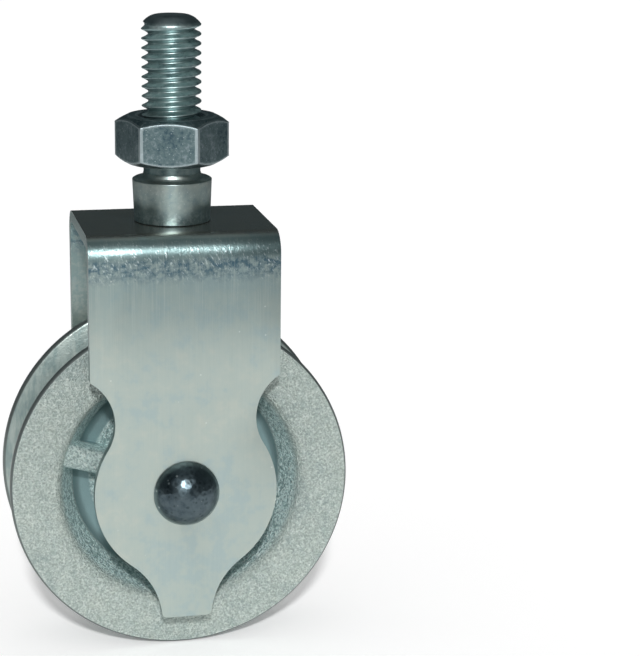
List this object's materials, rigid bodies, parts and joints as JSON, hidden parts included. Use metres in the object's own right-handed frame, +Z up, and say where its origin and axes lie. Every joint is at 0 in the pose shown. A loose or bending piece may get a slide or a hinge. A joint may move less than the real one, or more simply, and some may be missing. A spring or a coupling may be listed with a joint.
{
  "type": "cable pulley",
  "caption": "Grooved cast wheel in a bent steel strap that swivels under a threaded stud with a collar and a hex nut, for guiding a cable.",
  "frame": {"origin": "on the stud's axis, at the top face of the collar", "axes": "+Z up the stud, Y along the wheel's axle with the front of the strap towards -Y, X across the strap"},
  "size_m": [0.0454, 0.028, 0.0844],
  "materials": {
    "stud_steel": "zinc plated, satin, darkened in the thread",
    "collar_steel": "zinc plated, satin",
    "nut_steel": "zinc plated, cold formed, mottled",
    "strap_steel": "zinc plated sheet, faint lengthwise brushing",
    "wheel_cast": "as cast and zinc plated, fine granular",
    "rivet_steel": "dark, pebbled by hammering",
    "tube_steel": "plain drawn tube"
  },
  "bodies": {
    "stud_body": {"stud": "stud_steel", "collar": "collar_steel"},
    "nut_body": {"hex_nut": "nut_steel"},
    "yoke_body": {"strap_yoke": "strap_steel", "axle_rivet": "rivet_steel", "axle_tube": "tube_steel"},
    "wheel_body": {"wheel": "wheel_cast"}
  },
  "joints": [
    {"name": "nut_travel", "type": "slide", "parent": "stud_body", "child": "nut_body", "axis": [0, 0, 1], "range_m": [-0.002, 0.011]},
    {"name": "yoke_swivel", "type": "hinge", "parent": "stud_body", "child": "yoke_body", "pos_m": [0, 0, 0], "axis": [0, 0, 1], "continuous": true},
    {"name": "wheel_spin", "type": "hinge", "parent": "yoke_body", "child": "wheel_body", "pos_m": [0, 0, -0.04025], "axis": [0, 1, 0], "continuous": true}
  ]
}
